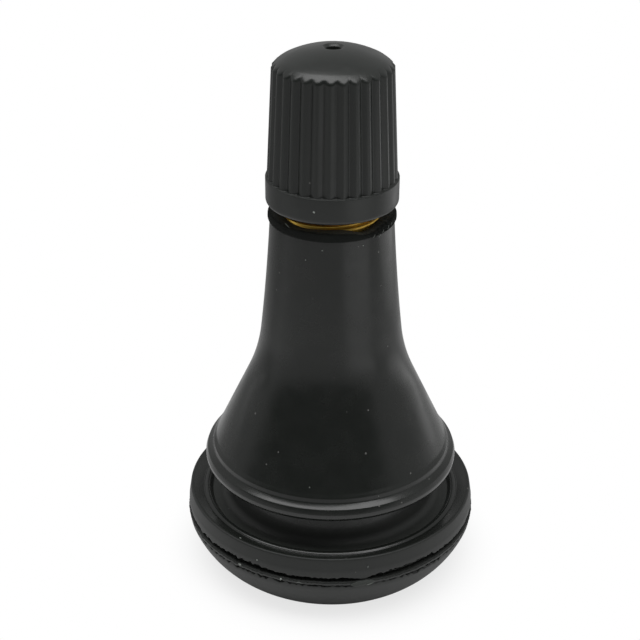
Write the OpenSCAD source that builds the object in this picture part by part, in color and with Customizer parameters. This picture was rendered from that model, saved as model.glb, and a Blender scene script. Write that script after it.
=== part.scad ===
// Snap-in rubber tyre valve with its dust cap screwed on. It stands on its base, with its axis on Z.
// The rubber body is moulded round a brass stem. The stem holds a screw-in core with a sprung pin.

/* [Rubber body] */
// Diameter of the flange that stays inside the wheel
flange_d = 23.1; // [22.4:0.1:24]
// Height of the flange's top edge over the base
flange_h = 6; // [5.6:0.1:6.6]
// Rounding of the flange's top edge
flange_round = 0.45; // [0.2:0.05:0.6]
// Height of the mould's parting line on the flange
parting_h = 3.55; // [3:0.05:4.2]
// Step of the flash that the mould leaves on that line
flash_w = 0.1; // [0.04:0.02:0.2]
// Height of that flash
flash_h = 0.6; // [0.3:0.05:0.8]
// Bulge of the curved side under the parting line
under_bulge = 0.32; // [0.1:0.02:0.5]
// Diameter of the flat ring that the valve stands on
base_d = 17.9; // [16.5:0.1:19]
// Diameter of the hollow in the base
dish_d = 12.6; // [12.2:0.2:14]
// Depth of the hollow in the base
dish_h = 0.9; // [0.6:0.1:1.2]
// Diameter of the raised edge round the seat
seat_d = 20; // [19.2:0.1:20.4]
// Drop from the flange's top edge to the raised edge
seat_drop = 0.28; // [0.1:0.02:0.4]
// Depth of the seat under the raised edge
seat_depth = 0.34; // [0.2:0.02:0.5]
// Diameter of the groove that the wheel's hole closes on
groove_d = 16; // [15.4:0.1:16.6]
// Height of the groove, from the seat to the lip
groove_h = 3.3; // [2.9:0.05:4.2]
// Rounding of the groove's corners
groove_round = 0.7; // [0.3:0.1:1]
// Diameter of the lip over the groove
lip_d = 20; // [19:0.1:21]
// Thickness of the lip's edge
lip_edge = 0.08; // [0.04:0.02:0.3]
// Rise of the lip's underside towards its edge
lip_rise = 0.2; // [0.1:0.05:0.4]
// Diameter of the cone's foot over the lip
cone_foot_d = 18.32; // [17.5:0.02:19]
// Width of the step round the cone's foot
step_w = 0.24; // [0.1:0.02:0.3]
// Height of that step
step_h = 0.28; // [0.1:0.02:0.4]
// Height of the flare from the lip's edge to that step
flare_h = 1.46; // [1.1:0.02:1.9]
// Hollow of the flare
flare_hollow = 0.05; // [0.02:0.01:0.12]
// Diameter of the cone's top
cone_top_d = 13.1; // [12.4:0.1:13.8]
// Height of the cone
cone_h = 5.56; // [5:0.02:6.5]
// Diameter of the neck's foot
neck_foot_d = 10.9; // [10.5:0.05:11.5]
// Height of the curve from the cone to the neck
sweep_h = 3.9; // [3:0.1:5]
// Hollow of that curve
sweep_hollow = 0.16; // [0.05:0.01:0.25]
// Height of the neck
neck_h = 9.15; // [8:0.05:11]
// Waist of the neck
neck_waist = 0.065; // [0.01:0.005:0.1]
// Thickness of the rubber at the neck's top
skin_t = 0.82; // [0.7:0.01:1.1]
// Step from the neck out to the trimmed collar on its top
collar_w = 0.14; // [0.06:0.02:0.24]
// Height of that collar
collar_h = 0.65; // [0.4:0.05:0.9]
// Height of the bevel under that collar
collar_bevel_h = 0.1; // [0.05:0.01:0.2]
// Rise of the collar's top face towards the brass
collar_rise = 0.18; // [0.1:0.02:0.4]

/* [Brass stem] */
// Diameter of the outer thread
thread_d = 7.7; // [7.5:0.05:7.9]
// Length of brass over the rubber
stem_out = 9; // [8:0.1:11]
// Width of the flat rim
rim_w = 0.4; // [0.25:0.05:0.5]
// Height of the chamfer round the rim
rim_chamfer_h = 0.55; // [0.3:0.05:0.9]
// Length of full-width brass inside the rubber
thread_root_h = 3; // [2:0.1:4]
// Diameter of the bonded shank
shank_d = 6.3; // [6:0.1:6.8]
// Height of the step between the thread and the shank
shank_step_h = 0.6; // [0.4:0.1:1]
// Height of the rings that key the shank into the rubber
key_ring_h = 0.45; // [0.2:0.05:0.6]
// Width of each key ring
key_ring_w = 1.2; // [0.8:0.1:1.6]
// Distance between key rings
key_ring_pitch = 3.2; // [2.4:0.1:3.6]
// Number of key rings
key_rings = 4; // [2:1:5]
// Diameter of the foot inside the base
foot_d = 10.2; // [9.4:0.1:11]
// Thickness of the foot
foot_t = 1.2; // [0.8:0.1:1.6]
// Height of the cone over the foot
foot_cone_h = 1.4; // [0.8:0.1:2]
// Rubber under the foot
foot_cover = 0.8; // [0.5:0.1:1.2]
// Length of stem that stands out of the hollow in the base
tail_out = 0.4; // [0.2:0.1:0.5]
// Diameter of the air passage
air_d = 2.7; // [2:0.1:3.2]

/* [Valve core] */
// Diameter of the thread that the core screws into
core_thread_d = 5.3; // [5.2:0.02:5.4]
// Clearance of the core's thread, on the radius
core_thread_clearance = 0.05; // [0.03:0.01:0.08]
// Step from the core's thread out to the mouth
mouth_step = 0.25; // [0.15:0.05:0.35]
// Depth of the mouth
mouth_h = 0.8; // [0.5:0.1:1.2]
// Thread left under the plug
thread_runout = 1.4; // [1.0:0.1:1.5]
// Depth of the pin's tip under the rim
tip_drop = 0.2; // [0.1:0.05:0.5]
// Depth of the plug's head under the rim
head_drop = 0.6; // [0.5:0.1:1]
// Height of the plug's head
head_h = 1.8; // [1.4:0.1:2.2]
// Diameter round the plug's head
head_d = 4.6; // [4.2:0.1:5]
// Width across the flats of the plug's head
head_flats = 2.4; // [2.2:0.1:2.8]
// Length of the plug's thread
plug_h = 3.7; // [3:0.1:4.5]
// Thickness of the plug over the spring's bore
plug_roof = 1; // [0.6:0.1:1.4]
// Height of the swivel's neck
swivel_neck_h = 0.8; // [0.6:0.05:1]
// Height of the swivel's collar
swivel_collar_h = 0.7; // [0.5:0.05:0.9]
// Step from the swivel's neck to its collar
swivel_step = 0.28; // [0.2:0.02:0.35]
// Clearance round the swivel, on the radius
swivel_play = 0.07; // [0.04:0.01:0.1]
// Clearance along the swivel
swivel_gap = 0.1; // [0.05:0.01:0.15]
// Wall of the swivel's neck and of the barrel's waist
core_wall = 0.31; // [0.25:0.01:0.4]
// Wall of the barrel's cup
barrel_wall = 0.2; // [0.15:0.01:0.25]
// Clearance round the barrel, on the radius
barrel_play = 0.15; // [0.1:0.01:0.2]
// Height of the barrel between its cup and the gasket
barrel_body_h = 2; // [1.6:0.1:2.6]
// Height of the gasket
gasket_h = 1.7; // [1.2:0.1:2.2]
// Clearance from the gasket to its seat, on the radius
gasket_clearance = 0.05; // [0.03:0.01:0.08]
// Step of the flange under the gasket
barrel_flange_w = 0.15; // [0.1:0.01:0.2]
// Height of the flange under the gasket
barrel_flange_h = 0.6; // [0.4:0.05:0.8]
// Clearance round that flange, on the radius
chamber_play = 0.2; // [0.12:0.01:0.28]
// Length of the barrel's tube
barrel_tube_h = 5.4; // [4.5:0.1:6.5]
// Wall of the barrel's tube
barrel_tube_wall = 0.6; // [0.45:0.05:0.7]
// Width of the sealing edge at the tube's end
seal_edge_w = 0.3; // [0.2:0.02:0.4]
// Height of the taper to the sealing edge
seal_taper_h = 0.6; // [0.4:0.1:1]
// Diameter of the pin
pin_d = 1.1; // [1:0.02:1.2]
// Clearance round the pin, on the radius
pin_play = 0.3; // [0.2:0.02:0.4]
// Thickness of the pin's collar
pin_collar_h = 0.5; // [0.3:0.05:0.7]
// Room over the pin's collar
pin_collar_room = 0.6; // [0.3:0.05:0.9]
// Diameter of the spring's wire
wire_d = 0.28; // [0.22:0.02:0.34]
// Clearance from the pin to the spring, on the radius
spring_play = 0.26; // [0.2:0.02:0.32]
// Clearance from the spring to its bore, on the radius
spring_bore_play = 0.2; // [0.12:0.02:0.28]
// Turns of the spring
spring_turns = 8; // [6:1:10]
// Height of the plunger's seal
seal_h = 1.6; // [1.2:0.1:2]
// Rubber outside the sealing edge
seal_margin = 0.1; // [0.05:0.01:0.15]
// Wall of the plunger's cup
cup_wall = 0.2; // [0.15:0.01:0.25]
// Height of the plunger's cup
cup_h = 1.5; // [1.2:0.1:1.7]
// Thickness of the cup's floor
cup_floor_t = 0.5; // [0.3:0.05:0.7]
// Step of the rivet that closes the pin's end
rivet_w = 0.25; // [0.15:0.05:0.4]
// Height of that rivet
rivet_h = 0.3; // [0.2:0.05:0.5]
// Travel of the pin
pin_travel = 1.1; // [0.8:0.1:1.4]
// Room under the plunger at the end of its travel
plunger_room = 1.2; // [0.8:0.1:2]

/* [Dust cap] */
// Gap between the rubber and the cap
cap_gap = 0.62; // [0.4:0.02:0.9]
// Clearance of the cap's thread, on the radius
cap_thread_clearance = 0.1; // [0.06:0.01:0.15]
// Wall at the foot of the ribbed side
cap_foot_wall = 0.9; // [0.8:0.02:1.1]
// Wall at the top of the ribbed side
cap_top_wall = 0.46; // [0.42:0.01:0.6]
// Height of the plain band
band_h = 2; // [1.4:0.1:2.6]
// Step from the ribs out to the band
band_step = 0.12; // [0.04:0.01:0.18]
// Height of the bevel on the band's top edge
band_bevel_h = 0.1; // [0.05:0.01:0.15]
// Rounding of the band's lower edge
band_round = 0.32; // [0.2:0.02:0.4]
// Bevel inside the cap's mouth
cap_mouth_bevel = 0.3; // [0.15:0.05:0.35]
// Number of rounded ribs
ribs = 32; // [24:1:34]
// Diameter that each rib is rounded to
rib_d = 1.24; // [1.14:0.02:1.4]
// Turn of the first valley between ribs from the front
rib_turn = 2.4; // [0:0.1:11]
// Height of the dome over the ribbed side
dome_h = 1.86; // [1.7:0.02:2.2]
// Height of the dome's rounded shoulder
shoulder_h = 0.76; // [0.6:0.02:1]
// Inset of the dome's rounded shoulder
shoulder_inset = 0.42; // [0.34:0.02:0.7]
// Bulge of that shoulder
shoulder_bulge = 0.14; // [0.05:0.01:0.2]
// Diameter of the dimple in the dome
dimple_d = 1.25; // [0.8:0.05:1.6]
// Depth of the dimple in the dome
dimple_h = 0.4; // [0.2:0.05:0.6]
// Thickness of the roof over the core
roof_t = 1.2; // [1:0.05:1.6]
// Height of the space over the washer
headroom_h = 1.3; // [1.3:0.05:1.8]
// Step from the washer's hole out to that space
headroom_step = 0.1; // [0.05:0.01:0.15]
// Thickness of the sealing washer
washer_t = 0.9; // [0.6:0.05:1.2]
// Overlap of the washer outside the rim
washer_overlap = 0.15; // [0.1:0.01:0.2]
// Clearance round the washer, on the radius
washer_play = 0.15; // [0.1:0.01:0.2]
// Clearance from the plug to the washer's hole, on the radius
washer_pass = 0.15; // [0.1:0.01:0.2]

/* [Hidden] */
$fn = 96;
rubber_black = [0.11, 0.115, 0.11];
cap_black = [0.13, 0.135, 0.13];
brass = [0.72, 0.55, 0.26];
steel = [0.62, 0.63, 0.64];
seal_red = [0.45, 0.12, 0.1];

// Steps of each rounded length of a profile
arc_steps = 8;
// Segments of one turn of the spring, and sides of its wire
coil_steps = 20;
wire_sides = 8;
// Half of a drill's point angle, for the end of the core's chamber
drill_half_angle = 59;
// Overshoot of cuts, so that no cut ends on a face
cut = 0.5;
// Clearance from the crests of the ribs out to the dome's blank, so that only its shoulder cuts them
rib_clearance = 0.04;

// Heights of the rubber body, from the base up
seat_edge_z = flange_h - seat_drop;
seat_z = seat_edge_z - seat_depth;
lip_z = seat_z + groove_h;
lip_top_z = lip_z + lip_edge;
step_z = lip_top_z + flare_h;
cone_z = step_z + step_h;
cone_top_z = cone_z + cone_h;
neck_z = cone_top_z + sweep_h;
neck_top_z = neck_z + neck_h;
collar_z = neck_top_z + collar_h;
rubber_top_z = collar_z + collar_rise;

// Radii and heights of the brass stem
thread_r = thread_d / 2;
neck_top_r = thread_r + skin_t;
collar_r = neck_top_r + collar_w;
rim_z = rubber_top_z + stem_out;
core_thread_r = core_thread_d / 2;
mouth_r = core_thread_r + mouth_step;
rim_r = mouth_r + rim_w;
tail_z = dish_h - tail_out;
foot_z = dish_h + foot_cover;
foot_top_z = foot_z + foot_t;
foot_cone_top_z = foot_top_z + foot_cone_h;
shank_r = shank_d / 2;
shank_top_z = rubber_top_z - thread_root_h - shank_step_h;

// Radii of the valve core, from the pin outwards
pin_r = pin_d / 2;
wire_r = wire_d / 2;
coil_r = pin_r + spring_play + wire_r;
pin_collar_r = coil_r + wire_r;
spring_bore_r = pin_collar_r + spring_bore_play;
waist_r = spring_bore_r + core_wall;
swivel_collar_r = waist_r + swivel_step;
swivel_cup_r = swivel_collar_r + swivel_play;
barrel_r = swivel_cup_r + barrel_wall;
relief_r = barrel_r + barrel_play;
barrel_flange_r = waist_r + barrel_flange_w;
chamber_r = barrel_flange_r + chamber_play;
pin_bore_r = pin_r + pin_play;
barrel_tube_r = pin_bore_r + barrel_tube_wall;
seal_edge_r = pin_bore_r + seal_edge_w;
seal_r = seal_edge_r + seal_margin;
cup_r = seal_r + cup_wall;
plug_r = core_thread_r - core_thread_clearance;

// Heights of the valve core, from the rim down
tip_z = rim_z - tip_drop;
head_z = rim_z - head_drop;
plug_z = head_z - head_h;
plug_end_z = plug_z - plug_h;
swivel_neck_z = plug_end_z - swivel_neck_h;
swivel_end_z = swivel_neck_z - swivel_collar_h;
swivel_floor_z = swivel_end_z - swivel_gap;
gasket_z = swivel_floor_z - barrel_body_h;
gasket_end_z = gasket_z - gasket_h;
spring_floor_z = gasket_end_z - barrel_flange_h;
seal_z = spring_floor_z - barrel_tube_h;
seal_end_z = seal_z - seal_h;
cup_z = seal_end_z - cup_floor_t;
rivet_z = cup_z - rivet_h;
chamber_z = rivet_z - pin_travel - plunger_room;
plug_bore_z = plug_z - plug_roof;
pin_collar_z = plug_bore_z - pin_collar_room - pin_collar_h;
thread_end_z = plug_end_z - thread_runout;

// Radii and heights of the dust cap
cap_bore_r = thread_r + cap_thread_clearance;
cap_foot_r = cap_bore_r + cap_foot_wall;
cap_top_r = cap_bore_r + cap_top_wall;
band_r = cap_foot_r + band_step;
washer_in_r = plug_r + washer_pass;
washer_out_r = rim_r + washer_overlap;
washer_pocket_r = washer_out_r + washer_play;
headroom_r = washer_in_r + headroom_step;
cap_z = rubber_top_z + cap_gap;
band_top_z = cap_z + band_h;
washer_top_z = rim_z + washer_t;
roof_z = washer_top_z + headroom_h;
apex_z = roof_z + roof_t;
side_top_z = apex_z - dome_h;
shoulder_z = side_top_z + shoulder_h;
shoulder_r = cap_top_r - shoulder_inset;
dome_rise = apex_z - shoulder_z;
dome_r = (shoulder_r * shoulder_r + dome_rise * dome_rise) / (2 * dome_rise);

// Points of a circular arc from p to q. A positive bulge is to the right of the way from p to q.
function bow(p, q, bulge) =
    let (
        chord = norm(q - p),
        radius = (chord * chord / 4 + bulge * bulge) / (2 * bulge),
        along = (q - p) / chord,
        aside = [along.y, -along.x],
        centre = (p + q) / 2 + aside * (bulge - radius),
        half = asin(chord / 2 / radius)
    )
    [for (i = [0:arc_steps])
        let (a = half * (2 * i / arc_steps - 1))
        centre + radius * (cos(a) * aside + sin(a) * along)];

// Points of an arc about a centre, from one angle to another
function arc(centre, radius, from, to) =
    [for (i = [0:arc_steps])
        let (a = from + (to - from) * i / arc_steps)
        centre + radius * [cos(a), sin(a)]];

// Solid turned about Z from a profile of radius and height
module turned(points) {
    rotate_extrude() polygon(points);
}

// Straight cut about Z between two heights
module bore(r, z0, z1) {
    translate([0, 0, z0]) cylinder(r = r, h = z1 - z0);
}

// Outside of the rubber, filled to the axis
module rubber_outside() {
    flange_r = flange_d / 2;
    groove_r = groove_d / 2;
    lip_r = lip_d / 2;
    turned(concat(
        [[0, dish_h], [dish_d / 2 - dish_h, dish_h], [dish_d / 2, 0]],
        bow([base_d / 2, 0], [flange_r, parting_h], under_bulge),
        [[flange_r + flash_w, parting_h + flash_h / 2], [flange_r, parting_h + flash_h]],
        arc([flange_r - flange_round, flange_h - flange_round], flange_round, 0, 90),
        [[seat_d / 2, seat_edge_z], [seat_d / 2 - seat_depth, seat_z]],
        arc([groove_r + groove_round, seat_z + groove_round], groove_round, 270, 180),
        arc([groove_r + groove_round, lip_z - lip_rise - groove_round], groove_round, 180, 90),
        [[lip_r, lip_z]],
        bow([lip_r, lip_top_z], [cone_foot_d / 2 + step_w, step_z], -flare_hollow),
        [[cone_foot_d / 2, cone_z]],
        bow([cone_top_d / 2, cone_top_z], [neck_foot_d / 2, neck_z], -sweep_hollow),
        bow([neck_foot_d / 2, neck_z], [neck_top_r, neck_top_z], -neck_waist),
        [[collar_r, neck_top_z + collar_bevel_h], [collar_r, collar_z]],
        [[thread_r, rubber_top_z], [0, rubber_top_z]]
    ));
}

// Outside of the brass, filled to the axis. The rubber is moulded on the same surface.
module stem_outside() {
    turned([
        [0, tail_z],
        [shank_r, tail_z],
        [shank_r, foot_z],
        [foot_d / 2, foot_z],
        [foot_d / 2, foot_top_z],
        [shank_r, foot_cone_top_z],
        for (i = [1:key_rings])
            let (z = foot_cone_top_z + i * key_ring_pitch)
            each [
                [shank_r, z],
                [shank_r + key_ring_h, z],
                [shank_r + key_ring_h, z + key_ring_w],
                [shank_r, z + key_ring_w]
            ],
        [shank_r, shank_top_z],
        [thread_r, shank_top_z + shank_step_h],
        [thread_r, rim_z - rim_chamfer_h],
        [rim_r, rim_z],
        [0, rim_z]
    ]);
}

// Moulded rubber: base, flange, groove for the wheel, lip, cone and neck
module rubber_body() {
    color(rubber_black) difference() {
        rubber_outside();
        stem_outside();
    }
}

// Turned brass stem with the core's chamber, the cone seat and the air passage
module brass_stem() {
    drill_h = (chamber_r - air_d / 2) / tan(drill_half_angle);
    color(brass) difference() {
        stem_outside();
        turned([
            [0, tail_z - cut],
            [air_d / 2, tail_z - cut],
            [air_d / 2, chamber_z - drill_h],
            [chamber_r, chamber_z],
            [chamber_r, gasket_end_z],
            [relief_r, gasket_z],
            [relief_r, thread_end_z],
            [core_thread_r, thread_end_z],
            [core_thread_r, rim_z - mouth_h],
            [mouth_r, rim_z - mouth_h],
            [mouth_r, rim_z + cut],
            [0, rim_z + cut]
        ]);
    }
}

// Moulded cap: band, ribbed side and dome outside, thread bore and washer pocket inside
module valve_cap() {
    color(cap_black) difference() {
        union() {
            turned(concat(
                [[0, cap_z]],
                arc([band_r - band_round, cap_z + band_round], band_round, 270, 360),
                [[band_r, band_top_z - band_bevel_h], [cap_foot_r, band_top_z], [0, band_top_z]]
            ));
            cap_side();
        }
        bore(dimple_d / 2, apex_z - dimple_h, apex_z + cut);
        turned([
            [0, cap_z - cut],
            [cap_bore_r + cap_mouth_bevel + cut, cap_z - cut],
            [cap_bore_r, cap_z + cap_mouth_bevel],
            [cap_bore_r, rim_z - rim_chamfer_h],
            [washer_pocket_r, rim_z],
            [washer_pocket_r, washer_top_z],
            [headroom_r, washer_top_z],
            [headroom_r, roof_z],
            [0, roof_z]
        ]);
    }
}

// Rounded ribs that lean in with the side's draft, cut at their tops by the dome
module cap_side() {
    side_h = side_top_z - band_top_z;
    draft = atan((cap_foot_r - cap_top_r) / side_h);
    rib_r = rib_d / 2;
    dome_half_angle = asin(shoulder_r / dome_r);
    intersection() {
        turned(concat(
            [[0, cap_z + cut], [band_r, cap_z + cut], [band_r, side_top_z]],
            bow([cap_top_r + rib_clearance, side_top_z], [shoulder_r, shoulder_z], shoulder_bulge),
            arc([0, apex_z - dome_r], dome_r, 90 - dome_half_angle, 90)
        ));
        union() {
            turned([
                [0, band_top_z - cut],
                [cap_foot_r - rib_r, band_top_z - cut],
                [cap_top_r - rib_r, side_top_z],
                [cap_top_r - rib_r, apex_z + cut],
                [0, apex_z + cut]
            ]);
            for (i = [0:ribs - 1])
                rotate([0, 0, rib_turn - 90 + (i + 0.5) * 360 / ribs])
                    translate([cap_foot_r - rib_r, 0, band_top_z])
                        rotate([0, -draft, 0])
                            bore(rib_r, -cut, side_h + dome_h + cut);
        }
    }
}

// Washer that seals the cap on the stem's rim
module cap_seal() {
    color(rubber_black) difference() {
        bore(washer_out_r, rim_z, washer_top_z);
        bore(washer_in_r, rim_z - cut, washer_top_z + cut);
    }
}

// Screw plug with a flat-sided head, a spring bore and the swivel's neck and collar
module core_plug() {
    color(brass) difference() {
        union() {
            intersection() {
                bore(head_d / 2, plug_z - cut, head_z);
                translate([-head_d, -head_flats / 2, plug_z - cut])
                    cube([2 * head_d, head_flats, head_h + cut]);
            }
            turned([
                [0, swivel_end_z],
                [swivel_collar_r, swivel_end_z],
                [swivel_collar_r, swivel_neck_z],
                [waist_r, swivel_neck_z],
                [waist_r, plug_end_z],
                [plug_r, plug_end_z],
                [plug_r, plug_z],
                [0, plug_z]
            ]);
        }
        bore(spring_bore_r, swivel_end_z - cut, plug_bore_z);
        bore(pin_bore_r, plug_bore_z - cut, head_z + cut);
    }
}

// Barrel with a cup for the swivel, a waist for the gasket, a tube and a sealing edge
module core_barrel() {
    swivel_lip_r = waist_r + swivel_play;
    swivel_lip_z = swivel_neck_z + swivel_gap;
    color(brass) difference() {
        turned([
            [0, seal_z],
            [seal_edge_r, seal_z],
            [barrel_tube_r, seal_z + seal_taper_h],
            [barrel_tube_r, spring_floor_z],
            [barrel_flange_r, spring_floor_z],
            [barrel_flange_r, gasket_end_z],
            [waist_r, gasket_end_z],
            [waist_r, gasket_z],
            [barrel_r, gasket_z],
            [barrel_r, plug_end_z - swivel_gap],
            [0, plug_end_z - swivel_gap]
        ]);
        turned([
            [0, seal_z - cut],
            [pin_bore_r, seal_z - cut],
            [pin_bore_r, spring_floor_z],
            [spring_bore_r, spring_floor_z],
            [spring_bore_r, swivel_floor_z],
            [swivel_cup_r, swivel_floor_z],
            [swivel_cup_r, swivel_lip_z],
            [swivel_lip_r, swivel_lip_z],
            [swivel_lip_r, plug_end_z + cut],
            [0, plug_end_z + cut]
        ]);
    }
}

// Tapered gasket round the barrel's waist, on the stem's cone seat
module barrel_gasket() {
    color(seal_red) turned([
        [waist_r, gasket_end_z],
        [chamber_r - gasket_clearance, gasket_end_z],
        [relief_r - gasket_clearance, gasket_z],
        [waist_r, gasket_z]
    ]);
}

// Pin with a collar for the spring and a rivet under the cup
module core_pin() {
    color(steel) turned([
        [0, rivet_z],
        [pin_r + rivet_w, rivet_z],
        [pin_r + rivet_w, cup_z],
        [pin_r, cup_z],
        [pin_r, pin_collar_z],
        [pin_collar_r, pin_collar_z],
        [pin_collar_r, pin_collar_z + pin_collar_h],
        [pin_r, pin_collar_z + pin_collar_h],
        [pin_r, tip_z],
        [0, tip_z]
    ]);
}

// Coil of round wire between the barrel's floor and the pin's collar
module core_spring() {
    rings = spring_turns * coil_steps;
    from_z = spring_floor_z + wire_r;
    rise = pin_collar_z - spring_floor_z - wire_d;
    points = [
        for (i = [0:rings])
            let (turn = 360 * i / coil_steps, z = from_z + rise * i / rings)
            for (k = [0:wire_sides - 1])
                let (
                    a = 360 * k / wire_sides,
                    r = coil_r + wire_r * cos(a)
                )
                [r * cos(turn), r * sin(turn), z + wire_r * sin(a)]
    ];
    sides = [
        for (i = [0:rings - 1])
            for (k = [0:wire_sides - 1])
                let (
                    next = (k + 1) % wire_sides,
                    low = i * wire_sides,
                    high = low + wire_sides
                )
                each [[low + k, low + next, high + next], [low + k, high + next, high + k]]
    ];
    first_end = [for (k = [wire_sides - 1:-1:0]) k];
    last_end = [for (k = [0:wire_sides - 1]) rings * wire_sides + k];
    color(steel) polyhedron(points, concat(sides, [first_end, last_end]));
}

// Cup that carries the plunger's seal
module plunger_cup() {
    color(brass) turned([
        [pin_r, cup_z],
        [cup_r, cup_z],
        [cup_r, cup_z + cup_h],
        [seal_r, cup_z + cup_h],
        [seal_r, seal_end_z],
        [pin_r, seal_end_z]
    ]);
}

// Seal that the spring holds against the barrel's edge
module plunger_seal() {
    color(rubber_black) turned([
        [pin_r, seal_end_z],
        [seal_r, seal_end_z],
        [seal_r, seal_z],
        [pin_r, seal_z]
    ]);
}

rubber_body();
brass_stem();
valve_cap();
cap_seal();
core_plug();
core_barrel();
barrel_gasket();
core_pin();
core_spring();
plunger_cup();
plunger_seal();
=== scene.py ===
# %% [markdown]
# # A snap-in tyre valve
#
# A tubeless wheel has one of these in its rim. Black rubber is moulded round a brass stem, and the groove over the
# flange snaps into a hole in the wheel. A sprung core is screwed into the brass, and a ribbed plastic cap keeps the
# dirt out.
#
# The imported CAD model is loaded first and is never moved. It holds every place and joint in metres. The sizes below
# are in millimetres and repeat the CAD sizes, so a surface that is worked out from them lands where the solid is.

import bpy
import numpy as np
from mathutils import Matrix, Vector


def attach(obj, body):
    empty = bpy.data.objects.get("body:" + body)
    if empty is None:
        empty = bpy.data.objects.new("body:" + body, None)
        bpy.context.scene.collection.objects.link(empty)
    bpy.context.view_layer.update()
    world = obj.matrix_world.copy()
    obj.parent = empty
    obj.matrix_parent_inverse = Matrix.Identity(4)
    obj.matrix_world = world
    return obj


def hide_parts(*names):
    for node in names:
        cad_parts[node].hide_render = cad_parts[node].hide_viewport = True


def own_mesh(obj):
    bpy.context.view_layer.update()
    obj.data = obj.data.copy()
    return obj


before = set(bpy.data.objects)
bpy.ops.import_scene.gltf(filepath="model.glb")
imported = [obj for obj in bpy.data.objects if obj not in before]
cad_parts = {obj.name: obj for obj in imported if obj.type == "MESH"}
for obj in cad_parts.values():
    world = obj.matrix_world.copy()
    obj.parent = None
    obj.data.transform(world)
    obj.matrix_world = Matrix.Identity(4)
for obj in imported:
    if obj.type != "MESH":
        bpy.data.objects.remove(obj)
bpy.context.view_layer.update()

scene = bpy.context.scene

# %% [markdown]
# ## The camera
#
# The photograph looks down on the valve by about 27 degrees from a hand's breadth away. The ellipses of the cap, the
# lip and the flange fix that angle and the lens. A focal length in pixels becomes a lens in millimetres when it is
# divided by the picture's width and multiplied by the sensor's. The valve stands a little to the right of the middle,
# so the camera stands a little to its left, and a small shift does the rest.

# %% Place the camera
MM = 0.001
PICTURE_PX = 640
FOCAL_PX = 1487
SENSOR_MM = 36
LOOK_DOWN = 27.36
CAMERA_MM = (-1.62, -102.3, 73.44)

camera_data = bpy.data.cameras.new("photo_camera")
camera_data.sensor_width = SENSOR_MM
camera_data.lens = SENSOR_MM * FOCAL_PX / PICTURE_PX
camera_data.shift_x = 0.015
camera_data.clip_start = 1 * MM
camera = bpy.data.objects.new("photo_camera", camera_data)
camera.location = np.array(CAMERA_MM) * MM
camera.rotation_euler = (np.radians(90 - LOOK_DOWN), 0, 0)
scene.collection.objects.link(camera)
scene.camera = camera
print("lens in mm:", round(camera_data.lens, 1))

# %% [markdown]
# ## Shader nodes in one line each
#
# Materials, the world and the floor are all node trees. One helper adds a node, sets its own properties and fills its
# sockets. A socket value that is itself an output is linked, so a tree reads from top to bottom like a recipe.

# %% A helper for nodes


def put(tree, kind, sockets=None, **settings):
    """Adds one node of that kind. settings are the node's own properties, and sockets maps an input's name or number
    to a value, or to another node's output that is linked to it."""
    node = tree.nodes.new(kind)
    for name, value in settings.items():
        setattr(node, name, value)
    for name, value in (sockets or {}).items():
        if isinstance(value, bpy.types.NodeSocket):
            tree.links.new(value, node.inputs[name])
        else:
            node.inputs[name].default_value = value
    return node


def math_of(tree, operation, *values):
    """Output of one Math node over the given values."""
    return put(tree, "ShaderNodeMath", dict(enumerate(values)), operation=operation).outputs[0]


def ramp_of(tree, value, low, high, to_low=0.0, to_high=1.0):
    """Output of a smooth step: to_low under low, to_high over high, and an S-shaped rise between them."""
    sockets = {"Value": value, "From Min": low, "From Max": high, "To Min": to_low, "To Max": to_high}
    return put(tree, "ShaderNodeMapRange", sockets, interpolation_type="SMOOTHSTEP").outputs["Result"]


def mix_colour(tree, share, first, second):
    """Output of a colour mix: first where share is 0, second where it is 1."""
    node = put(tree, "ShaderNodeMix", data_type="RGBA")
    for name, value in (("Factor_Float", share), ("A_Color", first), ("B_Color", second)):
        socket = next(s for s in node.inputs if s.identifier == name)
        if isinstance(value, bpy.types.NodeSocket):
            tree.links.new(value, socket)
        else:
            socket.default_value = value
    return next(s for s in node.outputs if s.identifier == "Result_Color")


print("node helpers:", put.__name__, math_of.__name__, ramp_of.__name__, mix_colour.__name__)

# %% [markdown]
# ## Light, world and floor
#
# Black rubber has almost no colour of its own, so what it shows is its surroundings. The photograph has a white
# table, pale walls and one large soft lamp overhead, and it is dark behind the camera: that is why the cone's front
# is nearly black while the neck, which mirrors the table, is grey. The world does the same, with a dark patch towards
# the front and a little to the left. The camera itself always sees white.

# %% Soft studio world
TO_DARK_FRONT = (-0.25, -0.97, 0)
PALE_WALL, DARK_ROOM = 0.45, 0.12

scene.view_settings.view_transform = "Standard"
world = bpy.data.worlds.new("white_studio")
scene.world = world
world.use_nodes = True
sky = world.node_tree
sky.nodes.clear()
direction = put(sky, "ShaderNodeTexCoord").outputs["Generated"]
height = put(sky, "ShaderNodeSeparateXYZ", {0: direction}).outputs["Z"]
forward = put(sky, "ShaderNodeVectorMath", {0: direction, 1: TO_DARK_FRONT}, operation="DOT_PRODUCT").outputs["Value"]
towards_camera = ramp_of(sky, forward, 0.1, 0.6)
under_the_lamp = ramp_of(sky, height, 0.95, 0.88)
dark_patch = math_of(sky, "MULTIPLY", towards_camera, under_the_lamp)
surroundings = ramp_of(sky, dark_patch, 0.0, 1.0, PALE_WALL, DARK_ROOM)
seen = put(sky, "ShaderNodeLightPath").outputs["Is Camera Ray"]
brightness = math_of(sky, "MAXIMUM", seen, surroundings)
background = put(sky, "ShaderNodeBackground", {"Color": (1, 1, 1, 1), "Strength": brightness})
put(sky, "ShaderNodeOutputWorld", {"Surface": background.outputs[0]})
print("world nodes:", len(sky.nodes))

# %% One large lamp overhead


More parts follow.
